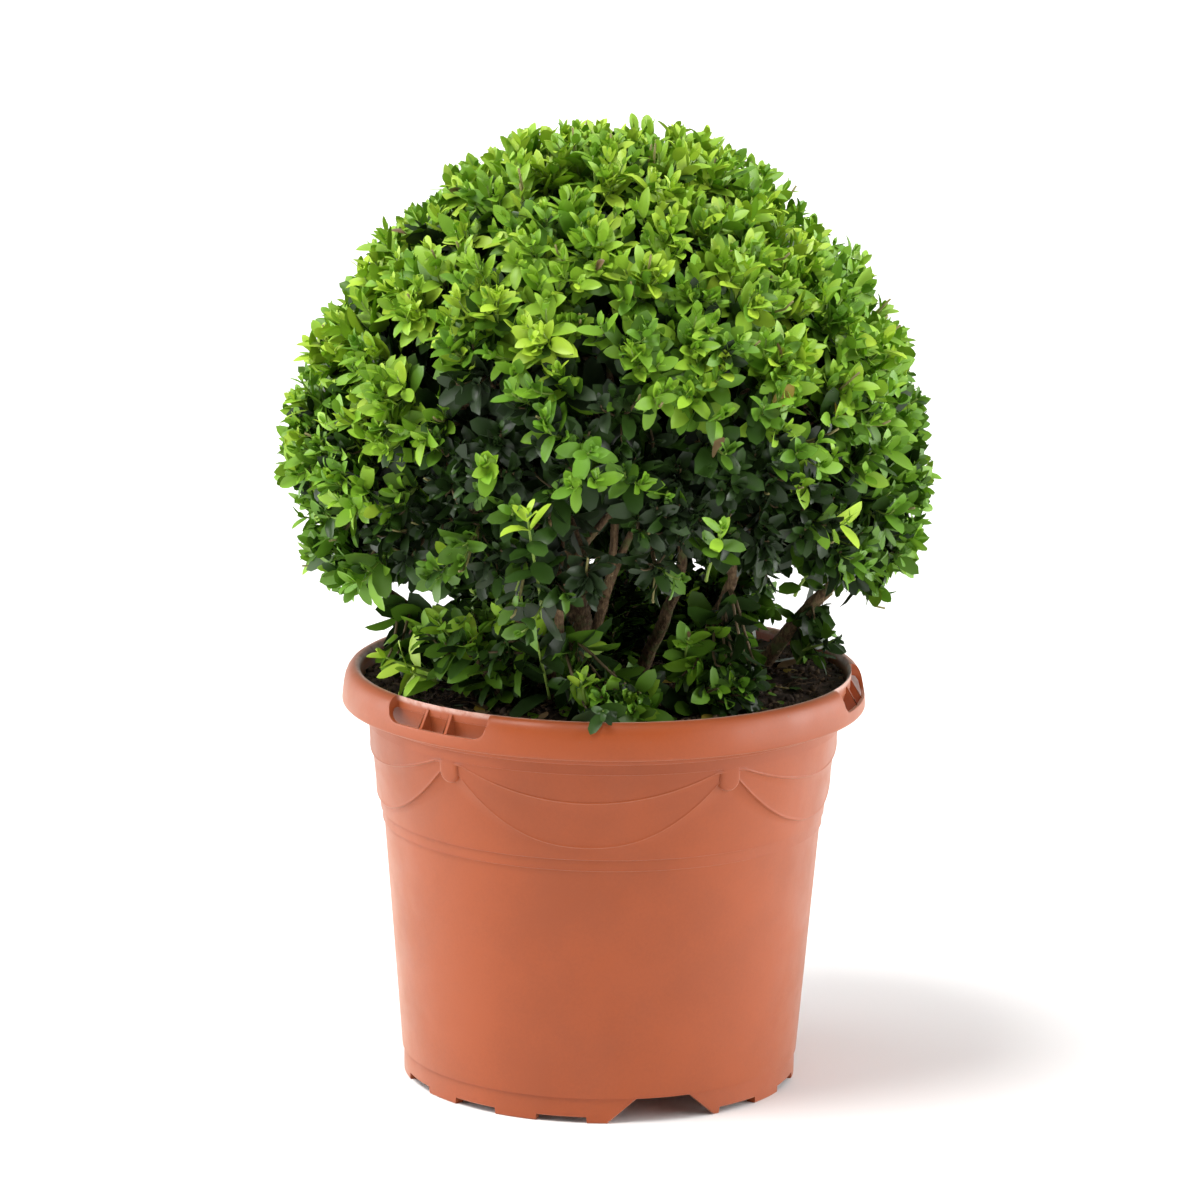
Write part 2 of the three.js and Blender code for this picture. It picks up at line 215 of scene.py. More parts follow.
def make_studio():
    """White panels to the left, the right and overhead, little light from the front, and a pale floor."""
    bpy.context.scene.view_settings.view_transform = "Standard"
    world = bpy.data.worlds.new("studio")
    world.use_nodes = True
    w = Wiring(world.node_tree, "Generated")
    way = w.node("ShaderNodeSeparateXYZ", {0: w.place}).outputs
    strength = FRONT_LIGHT
    for value, low, high, most in (
        (way["X"], 0.72, 0.94, RIGHT_SHARE * SIDE_LIGHT),
        (way["X"], -0.72, -0.94, SIDE_LIGHT),
        (way["Z"], 0.35, 0.95, TOP_LIGHT),
        (way["Z"], 0.28, 0.12, HORIZON),
    ):
        strength = w.math("ADD", w.ramp(value, low, high, 0.0, most), strength)
    background = w.tree.nodes["Background"]
    background.inputs["Color"].default_value = (1, 1, 1, 1)
    w.tree.links.new(strength, background.inputs["Strength"])
    bpy.context.scene.world = world
    light = bpy.data.lights.new("light_top", "SUN")
    light.energy, light.angle, light.color = 2.7, math.radians(26), (1, 0.99, 0.96)
    beam = Vector((0.35, 0.22, -1.0))
    put("light_top", light).rotation_euler = beam.to_track_quat("-Z", "Y").to_euler()
    floor = bpy.data.meshes.new("floor")
    corners = [(x * FLOOR_REACH, y * FLOOR_REACH, 0) for x, y in ((-1, -1), (1, -1), (1, 1), (-1, 1))]
    floor.from_pydata(corners, [], [(0, 1, 2, 3)])
    floor.materials.append(new_material("floor", (0.86, 0.86, 0.86), 0.8))
    put("floor", floor)


# ---- materials

def new_material(name, colour, roughness, specular=0.5):
    """A plain material, with its colour and its finish on the shader's own sockets."""
    material = bpy.data.materials.new(name)
    material.use_nodes = True
    shader = material.node_tree.nodes["Principled BSDF"]
    shader.inputs["Base Color"].default_value = (*colour, 1)
    shader.inputs["Roughness"].default_value = roughness
    shader.inputs["Specular IOR Level"].default_value = specular
    material.diffuse_color = (*colour, 1)
    return material


class Wiring:
    """Short calls for a node tree, whose textures lie in one kind of coordinates."""

    def __init__(self, tree, coordinates="Object"):
        self.tree = tree
        self.shader = tree.nodes.get("Principled BSDF")
        self.place = tree.nodes.new("ShaderNodeTexCoord").outputs[coordinates]

    def node(self, kind, inputs=None, **settings):
        made = self.tree.nodes.new(kind)
        for key, value in settings.items():
            setattr(made, key, value)
        for key, value in (inputs or {}).items():
            if isinstance(value, bpy.types.NodeSocket):
                self.tree.links.new(value, made.inputs[key])
            else:
                made.inputs[key].default_value = value
        return made

    def noise(self, scale, detail=4, roughness=0.55, place=None):
        place = place or self.place
        inputs = {"Vector": place, "Scale": scale, "Detail": detail, "Roughness": roughness}
        return self.node("ShaderNodeTexNoise", inputs).outputs["Fac"]

    def math(self, kind, a, b=0.0, c=0.0):
        return self.node("ShaderNodeMath", {0: a, 1: b, 2: c}, operation=kind).outputs[0]

    def ramp(self, value, low, high, out_low=0.0, out_high=1.0):
        inputs = {"Value": value, "From Min": low, "From Max": high, "To Min": out_low, "To Max": out_high}
        made = self.node("ShaderNodeMapRange", inputs, interpolation_type="SMOOTHSTEP")
        return made.outputs["Result"]

    def mix(self, share, a, b):
        made = self.node("ShaderNodeMix", data_type="RGBA")
        for socket, value in (("Factor", share), ("A", a), ("B", b)):
            target = [s for s in made.inputs if s.name == socket and s.enabled][0]
            if isinstance(value, bpy.types.NodeSocket):
                self.tree.links.new(value, target)
            else:
                target.default_value = (*value, 1) if isinstance(value, tuple) else value
        return [s for s in made.outputs if s.enabled][0]

    def bump(self, height, distance, strength=1.0):
        inputs = {"Height": height, "Distance": distance, "Strength": strength}
        self.to("Normal", self.node("ShaderNodeBump", inputs).outputs["Normal"])

    def to(self, socket, value):
        self.tree.links.new(value, self.shader.inputs[socket])


def plastic_material():
    """Satin moulded plastic with a fine grain, faint flow marks, and scuffs round the rim."""
    material = new_material("pot_plastic", PLASTIC, 0.42, 0.4)
    w = Wiring(material.node_tree)
    xyz = w.node("ShaderNodeSeparateXYZ", {"Vector": w.place}).outputs
    squares = [w.math("MULTIPLY", part, part) for part in (xyz[0], xyz[1])]
    radius = w.math("SQRT", w.math("ADD", *squares))
    patchy = w.math("ADD", w.noise(22, 5), w.math("MULTIPLY", w.noise(700, 3, 0.7), 0.5))
    darker, lighter = (tuple(share * c for c in PLASTIC) for share in (0.93, 1.07))
    colour = w.mix(w.ramp(patchy, 0.55, 0.95), darker, lighter)
    crest = w.ramp(xyz[2], RIM_HEIGHT - 3.2 * MM, RIM_HEIGHT - 1.2 * MM)
    on_rim = w.math("MULTIPLY", crest, w.ramp(radius, RIM_CREST + 1.0 * MM, RIM_CREST - 0.4 * MM))
    worn = w.math("MULTIPLY", on_rim, w.ramp(w.noise(160, 6, 0.65), 0.36, 0.6, 0.2, 0.6))
    colour = w.mix(worn, colour, (0.6, 0.42, 0.36))
    high_up = w.ramp(xyz[2], RIM_HEIGHT - 18 * MM, RIM_HEIGHT - 1 * MM)
    grime = w.math("MULTIPLY", high_up, w.ramp(w.noise(420, 3, 0.7), 0.66, 0.74))
    colour = w.mix(w.math("MULTIPLY", grime, 0.55), colour, (0.2, 0.1, 0.06))
    w.to("Base Color", colour)
    w.to("Roughness", w.ramp(w.noise(60, 4), 0.3, 0.7, 0.38, 0.5))
    w.shader.inputs["Sheen Weight"].default_value = 0.3
    w.shader.inputs["Sheen Roughness"].default_value = 0.45
    w.shader.inputs["Sheen Tint"].default_value = (1, 0.83, 0.66, 1)
    w.bump(w.noise(1900, 2, 0.5), 0.00006, 0.35)
    return material


def soil_material(name, light, dark):
    """Damp crumbly soil that varies between two browns."""
    material = new_material(name, light, 0.92, 0.3)
    w = Wiring(material.node_tree)
    colour = w.mix(w.ramp(w.noise(260, 5), 0.4, 0.65), dark, light)
    w.to("Base Color", colour)
    w.bump(w.noise(900, 6, 0.7), 0.0006, 0.9)
    return material


def bark_material():
    """Grey-brown furrowed bark, with green algae and paler scraped patches."""
    material = new_material("bark", BARK, 0.85, 0.3)
    w = Wiring(material.node_tree)
    stretched = w.node("ShaderNodeMapping", {"Vector": w.place, "Scale": (1, 1, 0.35)}).outputs["Vector"]
    furrow = w.noise(900, 6, 0.65, stretched)
    colour = w.mix(w.ramp(furrow, 0.38, 0.62), (0.085, 0.05, 0.026), BARK)
    colour = w.mix(w.ramp(w.noise(120, 4), 0.52, 0.68), colour, (0.13, 0.14, 0.05))
    colour = w.mix(w.ramp(w.noise(330, 3), 0.66, 0.74), colour, (0.42, 0.33, 0.2))
    w.to("Base Color", colour)
    w.bump(furrow, 0.0007, 0.9)
    return material


# ---- the pot

RIM_HEIGHT = 190 * MM
RIM_CREST = 112.8 * MM  # radius of the rim's highest line
WALL = 1.8 * MM
FOOT_TOP = 11.7 * MM
FOOT_RADIUS = 89.8 * MM
POCKETS = (-40, 80, 200)  # middles of the handle pockets, in degrees
POCKET_HALF = 14.2
POCKET_DEPTH = 10.8 * MM
POCKET_CORNER = 7 * MM
SWAG_COUNT = 5
SWAG_START = -40
SWAG_TOP = 164.2 * MM  # top of the band that the swags hang in
FOOT_PADS = 13
FIRST_PAD = -52.3
PAD_HALF = 6.5
DRAIN_CUTS = (19, 139, 259)
PLASTIC = (0.29, 0.052, 0.0065)
BARK = (0.2, 0.13, 0.068)


def wall_radius(z):
    """The plain outer wall: a straight cone up to two fine steps, then a fuller band up to the collar."""
    profile = np.array([
        (90.6, 11.7), (99.5, 119.0), (100.3, 119.3), (100.4, 124.2), (101.2, 124.5), (104.3, 154),
        (105.2, 164.2), (106.9, 164.5), (107.7, 164.75), (107.8, 169.3), (108.7, 169.6), (112.4, 186),
    ]) * MM
    return np.interp(z, profile[:, 1], profile[:, 0])


def swag_edges(degrees):
    """The heights of the lower and upper hanging edges of the draped relief."""
    pitch = 360 / SWAG_COUNT
    off = np.abs((degrees - SWAG_START) % pitch - pitch / 2)
    lower = (130.1 + 25.6 * (off / 32) ** 2.3) * MM
    upper = (150.9 + 11.1 * (off / 31) ** 2) * MM
    return np.minimum(lower, 159.8 * MM), np.minimum(upper, 162.6 * MM)


def make_wall(material):
    """The wall, with rows that follow the two edges of the swags so that their steps stay crisp."""
    degrees = np.linspace(0, 360, 1080, endpoint=False)
    lower, upper = swag_edges(degrees)
    rings = [118.6, 119.0, 119.15, 119.3, 119.6, 120.4, 122, 123.8, 124.2, 124.35, 124.5, 124.8, 125.6]
    below = np.concatenate([np.linspace(11.7, 116, 10), rings, [126.5]]) * MM
    above = np.array([164.5, 164.75, 165.4, 168.8, 169.3, 169.55, 169.8, 170.4, 178, 186]) * MM
    inside = np.linspace(186, 11.7, 8) * MM
    # Across one edge of the relief: heights from the edge, and the share of the step reached there
    step = np.array([-0.3, -0.1, 0.05, 0.25, 0.5, 0.8, 1.2, 1.9])
    rise = np.array([0, 0.12, 0.7, 1.12, 1.25, 1.2, 1.06, 1])
    lower_step, upper_step = 0.95, 0.9
    start, first, last = below[-1], lower + step[-1] * MM, upper + step[0] * MM
    height = np.concatenate([
        np.repeat(below[None], len(degrees), 0),
        start + (lower + step[0] * MM - start)[:, None] * [0.35, 0.7],
        lower[:, None] + step * MM,
        first[:, None] + (last - first)[:, None] * [0.25, 0.5, 0.75],
        upper[:, None] + np.minimum(step, 1.1) * MM,
        np.repeat(np.concatenate([above, inside])[None], len(degrees), 0),
    ], 1)
    relief = np.concatenate([
        np.zeros(len(below) + 2), lower_step * rise, np.full(3, lower_step), lower_step + upper_step * rise,
        np.zeros(len(above) + len(inside)),
    ]) * MM
    radius = wall_radius(height) + relief
    radius[:, -len(inside):] -= WALL
    verts, faces = revolved(degrees, radius, height)
    build("pot_wall", verts, faces, material, "pot_plastic", ["pot"], sharp=50)


def make_tabs(material):
    """The round-ended tabs that hold the swags up, each a cushion-edged button sunk in the wall."""
    half, low_centre, top = 5.4 * MM, 159.2 * MM, 165.2 * MM
    bend = np.radians(np.linspace(180, 360, 19))
    edge = np.stack([np.cos(bend), np.sin(bend)], 1)
    rim = np.concatenate([[[-1, 0]] * 3, edge, [[1, 0]] * 3])
    straight = [top, top - 2 * MM, top - 4 * MM]
    lift = np.concatenate([straight, np.full(len(bend), low_centre), straight[::-1]])
    inset = np.array([1.04, 1.0, 0.95, 0.87, 0.76, 0.5, 0.0])
    proud = np.array([-0.6, 0.7, 1.35, 1.75, 1.95, 2.05, 2.05]) * MM
    pile = Pile()
    for k in range(SWAG_COUNT):
        across = rim[:, None, 0] * half * inset
        height = lift[:, None] + rim[:, None, 1] * half * inset
        radius = wall_radius(np.minimum(height, SWAG_TOP)) + proud
        degrees = SWAG_START + 360 / SWAG_COUNT * k + np.degrees(across / radius)
        rows, columns = across.shape
        index = np.arange(rows * columns).reshape(rows, columns)
        faces = np.stack([index[:-1, :-1], index[1:, :-1], index[1:, 1:], index[:-1, 1:]], -1)
        pile.add(around(radius, degrees, height), faces.reshape(-1, 4))
    build("pot_tabs", *pile.arrays(), material, "pot_plastic", sharp=60)


def cut_away(piece, verts, faces, bevel):
    """Subtracts a closed shape from a piece and rounds the new edges."""
    shape = bpy.data.meshes.new("cutter")
    shape.from_pydata([tuple(v) for v in verts], [], [tuple(int(i) for i in f) for f in faces])
    cutter = put("cutter", shape)
    change = piece.modifiers.new("cut", "BOOLEAN")
    change.operation, change.object, change.solver = "DIFFERENCE", cutter, "EXACT"
    if bevel:
        soft = piece.modifiers.new("bevel", "BEVEL")
        soft.width, soft.segments, soft.limit_method = bevel, 2, "ANGLE"
        soft.angle_limit = math.radians(38)
    bpy.context.view_layer.update()
    cut = piece.evaluated_get(bpy.context.evaluated_depsgraph_get())
    mesh = bpy.data.meshes.new_from_object(cut)
    piece.modifiers.clear()
    piece.data = mesh
    mesh.polygons.foreach_set("use_smooth", np.ones(len(mesh.polygons), bool))
    mesh.set_sharp_from_angle(angle=math.radians(42))
    bpy.data.objects.remove(cutter)


def pocket_cutters():
    """Blocks with round lower corners that take the collar's shoulder away down to a lip."""
    floor, top, middle_radius, columns = RIM_HEIGHT - POCKET_DEPTH, RIM_HEIGHT + 8 * MM, 114 * MM, 41
    radius = np.array([112.4, 124, 124, 112.4]) * MM
    degrees = np.linspace(-POCKET_HALF, POCKET_HALF, columns)
    half = math.radians(POCKET_HALF) * middle_radius
    past = np.clip(np.abs(np.radians(degrees)) * middle_radius - (half - POCKET_CORNER), 0, POCKET_CORNER)
    low = floor + POCKET_CORNER - np.sqrt(POCKET_CORNER**2 - past**2)
    height = np.stack([low, low, np.full_like(low, top), np.full_like(low, top)], 1)
    faces = []
    for start in range(0, 4 * (columns - 1), 4):
        for row in range(4):
            after = (row + 1) % 4
            faces.append([start + row, start + 4 + row, start + 4 + after, start + after])
    last = 4 * (columns - 1)
    faces += [[0, 1, 2, 3], [last + 3, last + 2, last + 1, last]]
    pile = Pile()
    for middle in POCKETS:
        verts = around(radius[None], middle + degrees[:, None], height).reshape(-1, 3)
        pile.add(verts, faces)
    return pile.arrays()


def turned(profile, columns):
    """The skin of one closed profile (radius, height) in millimetres, turned about the axis."""
    degrees = np.linspace(0, 360, columns, endpoint=False)
    rows = np.repeat(np.array(profile)[None] * MM, columns, 0)
    return revolved(degrees, rows[..., 0], rows[..., 1])


def make_collar(material):
    """The hanging collar with its rolled shoulder, cut by the three handle pockets."""
    verts, faces = turned([
        (110.2, 184.5), (110.7, 187.4), (111.1, 188.8), (111.8, 189.7), (112.8, 190), (114.2, 189.8),
        (115.6, 188.9), (116.8, 187.2), (117.7, 184.9), (118.3, 181.8), (118.7, 178.4), (119.0, 175.0),
        (118.95, 174.3), (118.65, 173.8), (118.2, 173.6), (117.5, 173.9), (117.0, 179), (116.2, 182.4),
        (114.8, 184.4), (113.4, 184.8), (112.0, 184.2),
    ], 360)
    collar = build("pot_collar", verts, faces[:, ::-1], material, "pot_plastic")
    cut_away(collar, *pocket_cutters(), 0.45 * MM)


def make_gussets(material):
    """Two flat ribs across each pocket, high at the wall and low at the lip."""
    outline = np.array([
        (110.2, 174.5), (117.6, 174.5), (118.1, 178.9), (117.0, 179.7), (112.9, 187.2), (111.6, 187.4),
    ]) * MM
    half, n = 0.8 * MM, len(outline)
    sides = [[i, (i + 1) % n, n + (i + 1) % n, n + i] for i in range(n)]
    caps = [list(range(n))[::-1], list(range(n, 2 * n))]
    faces = sides + [cap[:4] for cap in caps] + [[cap[0], *cap[3:]] for cap in caps]
    pile = Pile()
    for middle in POCKETS:
        for beside in (-3.5, 3.5):
            out, across = around(1, middle + beside, 0), around(1, middle + beside + 90, 0)
            flat = outline[:, :1] * out + outline[:, 1:] * UP
            pile.add(np.concatenate([flat - across * half, flat + across * half]), faces)
    build("pot_gussets", *pile.arrays(), material, "pot_plastic", sharp=30)


def make_foot(material):
    """The foot ring with its pads and drain cut-outs, as one band whose lower edge steps round the pot."""
    edge, pad_lift, cut_height, cut_half, cut_slope = 0.15, 2.7 * MM, 11.2 * MM, 16.5, 8.5
    pads = FIRST_PAD + 360 / FOOT_PADS * np.arange(FOOT_PADS)
    marks = np.concatenate([pads + side * PAD_HALF + step for side in (-1, 1) for step in (-edge, edge)])
    even = np.linspace(0, 360, 720, endpoint=False)
    degrees = np.unique(np.round(np.concatenate([even, marks % 360]), 4))

    def distance_to(angles):
        return np.abs((degrees[:, None] - angles + 180) % 360 - 180).min(1)

    low = np.where(distance_to(pads) <= PAD_HALF - 0.1, 0.0, pad_lift)
    from_cut = distance_to(np.array(DRAIN_CUTS))
    low = np.maximum(low, cut_height * np.clip((cut_half - from_cut) / cut_slope, 0, 1))
    is_pad = (low < pad_lift - 0.1 * MM) & (from_cut > cut_half + 0.1)
    inner = np.where(is_pad, 84.8, 87.6) * MM
    top = np.full_like(low, FOOT_TOP + 0.1 * MM)
    soft = np.minimum(0.5 * MM, (top - low) * 0.4)
    full = np.full_like(low, FOOT_RADIUS)
    radius = np.stack([full, full, full - soft, inner + soft, inner, inner], 1)
    height = np.stack([top, low + soft, low, low, low + soft, top], 1)
    verts, faces = revolved(degrees, radius, height)
    build("pot_foot", verts, faces[:, ::-1], material, "pot_plastic", sharp=40)


def make_floor_plate(material):
    """The pot's raised floor with its round drain holes."""
    plate = build(
        "pot_floor", *turned([(1, 11.75), (88.9, 11.75), (88.9, 13.6), (1, 13.6)], 180),
        material, "pot_plastic",
    )
    holes, circle_radius, hole_radius, n = 6, 62 * MM, 4.5 * MM, 24
    bottom, top = UP * 5 * MM, UP * 20 * MM
    ring = np.linspace(0, 2 * np.pi, n, endpoint=False)
    pile = Pile()
    for k in range(holes):
        centre = around(circle_radius, 360 / holes * k, 0.0)
        circle = centre + hole_radius * np.stack([np.cos(ring), np.sin(ring), 0 * ring], 1)
        verts = np.concatenate([circle + bottom, circle + top])
        pile.add(verts, [[i, (i + 1) % n, n + (i + 1) % n, n + i] for i in range(n)])
        pile.add(circle + bottom, [[0, n - 1 - i, n - 2 - i, n - 3 - i] for i in range(0, n - 2, 2)])
        pile.add(circle + top, [[0, i + 1, i + 2, i + 3] for i in range(0, n - 2, 2)])
    cut_away(plate, *pile.arrays(), 0)


# ---- limbs from the frame

def mesh_arrays(name):
    """A frame node's corners and edges as arrays."""
    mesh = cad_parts[name].data
    verts = np.empty(3 * len(mesh.vertices))
    mesh.vertices.foreach_get("co", verts)
    edges = np.empty(2 * len(mesh.edges), int)
    mesh.edges.foreach_get("vertices", edges)
    return verts.reshape(-1, 3), edges.reshape(-1, 2)


def limb_line(name, steps=14):
    """A limb's middle line and radii, read off level slices through its solid."""
    verts, edges = mesh_arrays(name)
    a, b = verts[edges[:, 0]], verts[edges[:, 1]]
    low, high = verts[:, 2].min(), verts[:, 2].max()
    line, radii = [], []
    for z in np.linspace(low + 0.4 * MM, low + 0.9 * (high - low), steps):
        crossing = (a[:, 2] - z) * (b[:, 2] - z) < 0
        p, q = a[crossing], b[crossing]
        share = ((z - p[:, 2]) / (q[:, 2] - p[:, 2]))[:, None]
        points = p + (q - p) * share
        centre = points.mean(0)
        line.append(centre)
        radii.append(np.linalg.norm(points - centre, axis=1).mean())
    return np.array(line), np.array(radii)


LIMBS = [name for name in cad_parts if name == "trunk" or name.startswith("bough_")]
BOUGH_SHARE = 0.72  # how much of its solid's thickness a bough fills


# ---- leaves

# A leaf's outline: steps along it, and half its width there for a leaf as wide as 1
FINE_LEAF = (
    np.array([0.0, 0.1, 0.27, 0.5, 0.73, 0.89, 1.0]),
    np.array([0.03, 0.27, 0.44, 0.5, 0.42, 0.25, 0.0]),
)
PLAIN_LEAF = (np.array([0.0, 0.18, 0.5, 0.84, 1.0]), np.array([0.03, 0.37, 0.5, 0.36, 0.0]))


def leaves(shape, at, along, facing, length, width, curl, fold, reach):
    """Leaves as single skins: at is the leaf's foot, along its way out, facing its upper side.
    reach is 1 for a whole leaf, and less for one that the shears cut short."""
    n = len(at)
    steps, halves = shape
    along = unit(along)
    facing = unit(facing - along * np.sum(facing * along, -1, keepdims=True))
    across = np.cross(along, facing)
    whole = reach[:, None] > 0.999
    u = np.where(whole, steps, np.minimum(steps / steps[-2], 0.97) * reach[:, None])
    u[:, -2] = np.where(whole[:, 0], steps[-2], reach)
    bend = curl[:, None] * u
    safe = np.where(np.abs(curl) < 1e-3, 1e-3, curl)[:, None]
    forward = length[:, None] * np.sin(safe * u) / safe
    down = length[:, None] * (1 - np.cos(safe * u)) / safe
    spine = at[:, None] + along[:, None] * forward[..., None] - facing[:, None] * down[..., None]
    normal = facing[:, None] * np.cos(bend)[..., None] + along[:, None] * np.sin(bend)[..., None]
    half = np.interp(u, steps, halves) * width[:, None]
    lift = np.sin(fold)[:, None] * half
    flat = np.cos(fold)[:, None] * half
    left, right = (
        spine + side * across[:, None] * flat[..., None] + normal * lift[..., None] for side in (-1, 1)
    )
    inner = slice(1, -1)
    rows = np.stack([left[:, inner], spine[:, inner], right[:, inner]], 2).reshape(n, -1, 3)
    verts = np.concatenate([spine[:, :1], rows, spine[:, -1:]], 1)
    count = len(steps) - 2
    faces = [[0, 1, 2], [0, 2, 3]]
    for i in range(count - 1):
        for side in (0, 1):
            a = 1 + 3 * i + side
            faces += [[a, a + 3, a + 4], [a, a + 4, a + 1]]
    last, tip = 1 + 3 * (count - 1), 3 * count + 1
    faces += [[last, tip, last + 1], [last + 1, tip, last + 2]]
    return verts.reshape(-1, 3), tile(np.array(faces), n, verts.shape[1])


# Leaf colours, from the newest growth to the oldest, and the dying ones
TONES = {
    "tip_yellow": (0.36, 0.53, 0.04),
    "tip_lime": (0.25, 0.435, 0.03),
    "young_bright": (0.175, 0.35, 0.022),
    "young_green": (0.115, 0.26, 0.018),
    "summer_green": (0.078, 0.175, 0.012),
    "deep_green": (0.028, 0.069, 0.009),
    "old_green": (0.015, 0.034, 0.007),
    "old_grey": (0.023, 0.041, 0.016),
    "yellowed": (0.3, 0.22, 0.03),
    "withered": (0.15, 0.095, 0.045),
}
TONE_NAMES = list(TONES)
YELLOWED, WITHERED = TONE_NAMES.index("yellowed"), TONE_NAMES.index("withered")
OLD_TONES = ("deep_green", "old_green", "old_grey")
PLAIN_TONES = ("summer_green", *OLD_TONES)  # tones whose leaves have the plainer outline
LEAVES_A_PIECE = 9000


class Foliage:
    """Collects leaves by tone."""

    def __init__(self):
        self.rows = {name: [] for name in TONES}

    def add(self, tone, **leaf):
        """Takes rows of leaves; tone is each one's place in TONE_NAMES."""
        for index, name in enumerate(TONE_NAMES):
            pick = tone == index
            if pick.any():
                self.rows[name].append({key: value[pick] for key, value in leaf.items()})

    def finish(self):
        """Builds each tone's leaves, in pieces of a limited size."""
        for name, rows in self.rows.items():
            if not rows:
                continue
            joined = {key: np.concatenate([row[key] for row in rows]) for key in rows[0]}
            count = len(joined["length"])
            verts, faces = leaves(PLAIN_LEAF if name in PLAIN_TONES else FINE_LEAF, **joined)
            roughness, specular, slot = 0.45, 0.35, "clipped_leaves"
            if name in OLD_TONES:
                roughness, specular, slot = 0.36, 0.3, "old_leaves"
            material = new_material("leaf_" + name, TONES[name], roughness, specular)
            size, per = len(verts) // count, len(faces) // count
            for part, first in enumerate(range(0, count, LEAVES_A_PIECE), 1):
                last = min(first + LEAVES_A_PIECE, count)
                some = faces[first * per:last * per] - first * size
                skin = verts[first * size:last * size]
                build(f"leaves_{name}_{part}", skin, some, material, slot, FOLIAGE_NODES)


FOLIAGE_NODES = [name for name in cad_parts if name.startswith("foliage_")]

# Leaf pairs along a shoot, from its tip inwards: distance from the tip, leaf length, angle to the shoot
PAIR_FROM_TIP = np.array([0.3, 2.8, 7.3, 13.3, 19.8, 26.5, 33.5, 40.5]) * MM
PAIR_LENGTH = np.array([5.5, 9.5, 14.0, 17.0, 18.5, 19.0, 19.0, 19.0]) * MM
PAIR_ANGLE = np.radians([12, 24, 36, 46, 53, 60, 66, 70])


def dress(foliage, rng, curves, tones, old_tones, pairs, new_pairs, size, droop):
    """Leaf pairs along many shoots at once, each pair square to the last."""
    lost, cut_young, cut_old = 0.05, 0.17, 0.05  # shares of leaves that are missing or cut short
    yellow_share, withered_share = 0.006, 0.0015
    foot, _, tip, _ = curves
    n = len(tip)
    span = np.linalg.norm(tip - foot, axis=1)
    steps = PAIR_FROM_TIP[:pairs.max()]
    t = 1 - steps[None] * size[:, None] / span[:, None]
    at, along = bent(curves, np.clip(t, 0.02, 1))
    start = sideways(along[:, 0], rng)
    for k in range(len(steps)):
        has = (k < pairs) & (t[:, k] > 0.05)
        axis = along[:, k]
        side = unit(start - axis * np.sum(start * axis, -1, keepdims=True))
        side = turn(side, axis, np.full(n, k * np.pi / 2) + rng.normal(0, 0.25, n))
        for sign in (-1, 1):
            keep = has & (rng.random(n) > lost)
            m = keep.sum()
            if not m:
                continue
            a, s = axis[keep], sign * side[keep]
            angle = PAIR_ANGLE[k] + rng.normal(0, 0.16, m)
            way = a * np.cos(angle)[:, None] + s * np.sin(angle)[:, None]
            way = unit(way - UP * (droop[keep] * (0.3 + 0.5 * rng.random(m)))[:, None])
            face = a * np.sin(angle)[:, None] - s * np.cos(angle)[:, None]
            face = unit(face + 0.25 * UP + 0.22 * rng.normal(size=(m, 3)))
            young = k < new_pairs[keep]
            length = PAIR_LENGTH[k] * size[keep] * rng.uniform(0.82, 1.14, m)
            strayed = (rng.random(m) < 0.25) * rng.choice([-1, 1], m)
            tone = np.where(young, tones[keep] + strayed, old_tones[keep])
            tone = np.clip(tone, 0, YELLOWED - 1)
            odd = rng.random(m)
            tone = np.where(odd > 1 - withered_share, WITHERED, tone)
            tone = np.where(~young & (odd < yellow_share), YELLOWED, tone)
            cut = rng.random(m) < np.where(young, cut_young, cut_old)
            foliage.add(
                tone.astype(int),
                at=at[keep, k],
                along=way,
                facing=face,
                length=length,
                width=length * rng.uniform(0.41, 0.54, m) * np.where(young, 1, 1.1),
                curl=rng.normal(0.25, 0.3, m) + 0.25 * droop[keep],
                fold=np.where(young, rng.uniform(0.05, 0.5, m), rng.uniform(-0.1, 0.3, m)),
                reach=np.where(cut, rng.uniform(0.45, 0.85, m), 1.0),
            )


# ---- the clipped ball

BALL_CENTRE = np.array([0.0, 0.0, 0.291])
# Directions in which the leaves stand out, or fall short if below 0, and by how many millimetres
FULLER = (
    ((-0.62, 0, 0.78), 2),
    ((0.1, 0, 1), 4),
    ((1, 0, -0.02), -3),
    ((0.86, -0.1, -0.5), 5),
    ((-0.84, 0, -0.5), -5),
)


def spread_directions(count, rng, jitter):
    """Directions spread evenly over a sphere, each moved a little."""
    i = np.arange(count) + 0.5
    z = 1 - 2 * i / count
    spiral = np.pi * (1 + 5**0.5) * i
    flat = np.sqrt(1 - z * z)
    even = np.stack([flat * np.cos(spiral), flat * np.sin(spiral), z], 1)
    return unit(even + jitter * rng.normal(size=even.shape))


def shell(directions):
    """Where rays from the ball's centre leave its solid: places and outward directions there."""
    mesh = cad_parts["foliage_ball"].data
    corners = [v.co for v in mesh.vertices]
    tree = BVHTree.FromPolygons(corners, [tuple(p.vertices) for p in mesh.polygons])
    centre = Vector(BALL_CENTRE)
    hits = [tree.ray_cast(centre, Vector(d)) for d in directions]
    return np.array([h[0] for h in hits]), np.array([h[1] for h in hits])


def nearest(points, choices):
    """The index of the choice nearest to each point."""
    gaps = np.linalg.norm(points[:, None] - choices[None], axis=2)
    return gaps.argmin(1)


def join_up(foot, foot_way, tip, tip_way):
    """The curves from each foot to each tip, with slopes along the given ways."""
    pull = 0.9
    span = np.linalg.norm(tip - foot, axis=1, keepdims=True)
    return foot, foot_way * span * pull, tip, tip_way * span * pull


